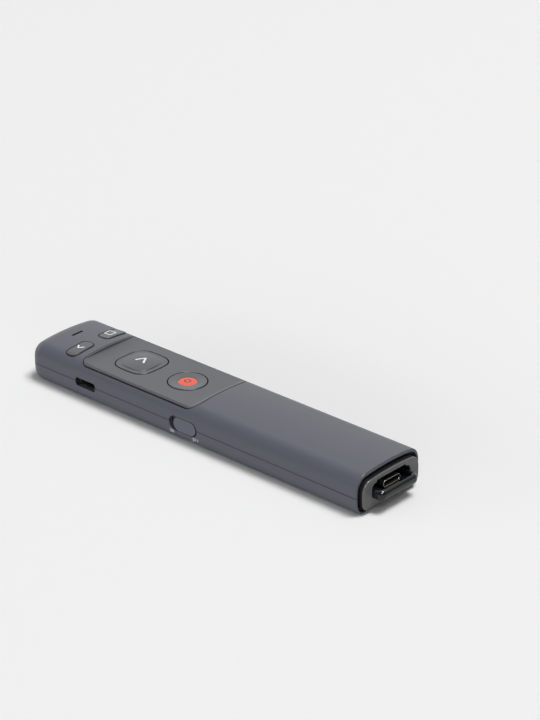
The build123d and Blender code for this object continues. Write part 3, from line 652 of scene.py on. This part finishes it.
# %% [markdown]
# The marks are printed on the plastic as thin strokes of paint. A stroke is a flat profile carried
# along a route. A text object would do for letters, but these marks follow crowned and dished faces,
# so each point of a stroke is laid on its face by a formula of its own.

# %% Strokes of paint
STROKE_RING = 12  # points around a stroke's profile
STROKE_STEP = 0.06  # along a stroke
PAINT_RISE = 0.012
PROFILE_POWER = 0.4  # under 1 makes the profile flatter than an oval
END_WIDTH = 0.04  # share of the rounded end at which a stroke starts


def skin(name, rings, loop):
    """A closed mesh from rings of points, shaped (rings, points, 3): quads join each ring to the
    next. A loop joins the last ring to the first, and otherwise a fan closes each end at its middle."""
    count, around = rings.shape[:2]
    points = rings.reshape(-1, 3)
    ring = np.arange(count if loop else count - 1)[:, None]
    spoke = np.arange(around)[None, :]
    here = ring * around + spoke
    beside = ring * around + (spoke + 1) % around
    over = (ring + 1) % count * around + spoke
    corner = (ring + 1) % count * around + (spoke + 1) % around
    faces = np.stack([here, beside, corner, over], axis=-1).reshape(-1, 4).tolist()
    if not loop:
        points = np.concatenate([points, rings[[0, -1]].mean(axis=1)])
        first, last = np.arange(around), (count - 1) * around + np.arange(around)
        first_hub, last_hub = np.full(around, len(points) - 2), np.full(around, len(points) - 1)
        faces += np.stack([np.roll(first, -1), first, first_hub], axis=1).tolist()
        faces += np.stack([last, np.roll(last, -1), last_hub], axis=1).tolist()
    mesh = bpy.data.meshes.new(name)
    mesh.from_pydata((points * MM).tolist(), [], faces)
    piece = bpy.data.objects.new(name, mesh)
    bpy.context.scene.collection.objects.link(piece)
    return piece


def route(corners, bend, loop):
    """Evenly spaced points along straight runs, where a running mean as long as bend rounds the
    corners. An open route is carried on beyond its ends first, so that they stay in place."""
    corners = np.array(corners, dtype=float)
    if loop:
        corners = np.vstack([corners, corners[:1]])
    runs = np.linalg.norm(np.diff(corners, axis=0), axis=1)
    along = np.concatenate([[0.0], np.cumsum(runs)])
    count = max(int(round(along[-1] / STROKE_STEP)), 8)
    window = max(int(round(bend / along[-1] * count)) // 2 * 2 + 1, 1)
    pad = window // 2
    steps = np.arange(-pad, count + pad + (0 if loop else 1)) / count * along[-1]
    if loop:
        steps = steps % along[-1]
    points = np.stack([np.interp(steps, along, corners[:, axis]) for axis in (0, 1)], axis=1)
    if not loop:
        start, end = corners[1] - corners[0], corners[-1] - corners[-2]
        points += np.minimum(steps, 0)[:, None] * start / np.linalg.norm(start)
        points += np.maximum(steps - along[-1], 0)[:, None] * end / np.linalg.norm(end)
    even = np.ones(window) / window
    return np.stack([np.convolve(points[:, axis], even, "valid") for axis in (0, 1)], axis=1)


def stroke(name, corners, width, face, body, finish, bend=0.3, loop=False):
    """A stroke of paint. Its profile is a flat oval, width across and twice PAINT_RISE thick: at a
    turn t around it, width / 2 * cos(t) across and PAINT_RISE * sin(t)^PROFILE_POWER up. Near an open
    end the width shrinks as the square root of 1 - (1 - d / r)^2, which makes the end round."""
    points = route(corners, bend, loop)
    if loop:
        ahead = np.roll(points, -1, axis=0) - np.roll(points, 1, axis=0)
        swell = np.ones(len(points))
    else:
        ahead = np.gradient(points, axis=0)
        walked = np.concatenate([[0.0], np.cumsum(np.linalg.norm(np.diff(points, axis=0), axis=1))])
        from_end = np.minimum(walked, walked[-1] - walked)
        near_end = np.clip(from_end / (width / 2), END_WIDTH, 1)
        swell = np.sqrt(np.clip(1 - (1 - near_end) ** 2, 0, 1))
    ahead /= np.linalg.norm(ahead, axis=1)[:, None]
    aside = np.stack([ahead[:, 1], -ahead[:, 0]], axis=1)
    turn = np.linspace(0, 2 * pi, STROKE_RING, endpoint=False)
    across = width / 2 * swell[:, None] * np.cos(turn)
    lift = np.sign(np.sin(turn)) * np.abs(np.sin(turn)) ** PROFILE_POWER
    height = PAINT_RISE * swell[:, None] * lift
    flat = points[:, None, :] + across[..., None] * aside[:, None, :]
    piece = skin(name, face(flat[..., 0], flat[..., 1], height), loop)
    piece.data.materials.append(finish)
    piece.data.shade_smooth()
    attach(piece, body)
    return piece


print("a stroke has", STROKE_RING, "points around it")

# %% [markdown]
# Each face that carries a mark is a formula: a ball for the pillow of the next button and for the red
# dot, a wide barrel that also slopes for the two front buttons, and an upright barrel for the side.

# %% Faces that carry marks
SIDE_REACH = 15.0  # from the middle of the casing
SIDE_RADIUS = 32.79
SIDE_MIDDLE = 6.4  # height of the widest line
PILLOW_RADIUS = 45.95
DOT_BALL_RADIUS = 13.0


def middle(node):
    """The middle of a node's box in plan, and its top, in millimetres."""
    low, high = (np.array(corner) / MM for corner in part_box(node))
    return (low[0] + high[0]) / 2, (low[1] + high[1]) / 2, high[2]


def ball_face(node, radius):
    """The top of a ball whose crown is the node's highest point: top - r + root(r^2 - x^2 - y^2)."""
    x_middle, y_middle, top = middle(node)

    def face(x, y, height):
        fall = radius - np.sqrt(radius**2 - (x - x_middle) ** 2 - (y - y_middle) ** 2)
        return np.stack([x, y, top - fall + height], axis=-1)

    return face


def front_face(x, y, height):
    """The crowned top, CROWN_TOP - R + root(R^2 - x^2), tilted so that it rises towards the tail by
    the slope: a tilt makes every upright height longer by root(1 + slope^2)."""
    crown = CROWN_TOP - CROWN_RADIUS + np.sqrt(CROWN_RADIUS**2 - x**2)
    tilted = crown * sqrt(1 + FRONT_SLOPE**2) + FRONT_SLOPE * (FRONT_EDGE - y)
    return np.stack([x, y, tilted + height], axis=-1)


def side_face(y, z, height):
    """The port's side of the casing: -(reach - r + root(r^2 - (z - middle)^2)), and out from there."""
    reach = SIDE_REACH - SIDE_RADIUS + np.sqrt(SIDE_RADIUS**2 - (z - SIDE_MIDDLE) ** 2)
    return np.stack([-reach - height, y, z], axis=-1)


print("next button's middle:", [round(float(value), 2) for value in middle("next_button")])

# %% [markdown]
# The marks themselves: a chevron on the next and the previous button, a small screen on the third, a
# ring on the red dot, and ON and OFF beside the slide switch. A letter is one or more strokes in a
# box that is 1 high, and its left edge is turned towards the nose.

# %% Marks
white_paint = moulded("white_paint", from_srgb(236, 238, 240), 0.5, 0.02, 0.001)
grey_paint = moulded("grey_paint", from_srgb(205, 209, 213), 0.5, 0.02, 0.001)
dark_red_paint = moulded("dark_red_paint", from_srgb(104, 44, 44), 0.45, 0.02, 0.001)

stroke("next_mark", [(-0.9, 35.3), (2.2, 33.45), (-1.0, 31.45)], 0.74,
       ball_face("next_button", PILLOW_RADIUS), "next", white_paint)
stroke("previous_mark", [(-6.35, 56.5), (-7.95, 55.2), (-6.5, 53.6)], 0.54,
       front_face, "previous", white_paint, bend=0.1)
stroke("screen_mark", [(5.8, 56.6), (8.9, 57.0), (8.9, 54.0), (5.8, 53.9)], 0.46,
       front_face, "screen", white_paint, bend=0.9, loop=True)

RING_RADIUS = 1.0
RING_CORNERS = 24
dot_middle = middle("laser_button_dot")[:2]
ring_turns = np.linspace(0, 2 * pi, RING_CORNERS, endpoint=False)
ring_points = dot_middle + RING_RADIUS * np.stack([np.cos(ring_turns), np.sin(ring_turns)], axis=1)
stroke("dot_mark", ring_points, 0.4, ball_face("laser_button_dot", DOT_BALL_RADIUS),
       "laser", dark_red_paint, loop=True)

LETTERS = {
    "O": [([(0.2, 0), (0.7, 0), (0.7, 1), (0.2, 1)], True)],
    "N": [([(0.12, 0), (0.12, 1), (0.72, 0), (0.72, 1)], False)],
    "F": [([(0.15, 0), (0.15, 1), (0.7, 1)], False), ([(0.15, 0.5), (0.6, 0.5)], False)],
}
LETTER_HEIGHT = 1.05
LETTER_PITCH = 1.0
LETTER_LEVEL = 2.3
LETTER_STROKE = 0.17
ON_START = 6.2
OFF_START = -3.9


def word(name, letters, start):
    """Letters in a row along the side, from start towards the tail."""
    for number, letter in enumerate(letters):
        left = start - number * LETTER_PITCH
        for part, (corners, loop) in enumerate(LETTERS[letter]):
            on_side = [(left - x * LETTER_HEIGHT, LETTER_LEVEL + z * LETTER_HEIGHT) for x, z in corners]
            stroke(f"{name}_{number}_{part}", on_side, LETTER_STROKE, side_face, "casing",
                   grey_paint, bend=0.5 if loop else 0.1, loop=loop)


word("on_mark", "ON", ON_START)
word("off_mark", "OFF", OFF_START)
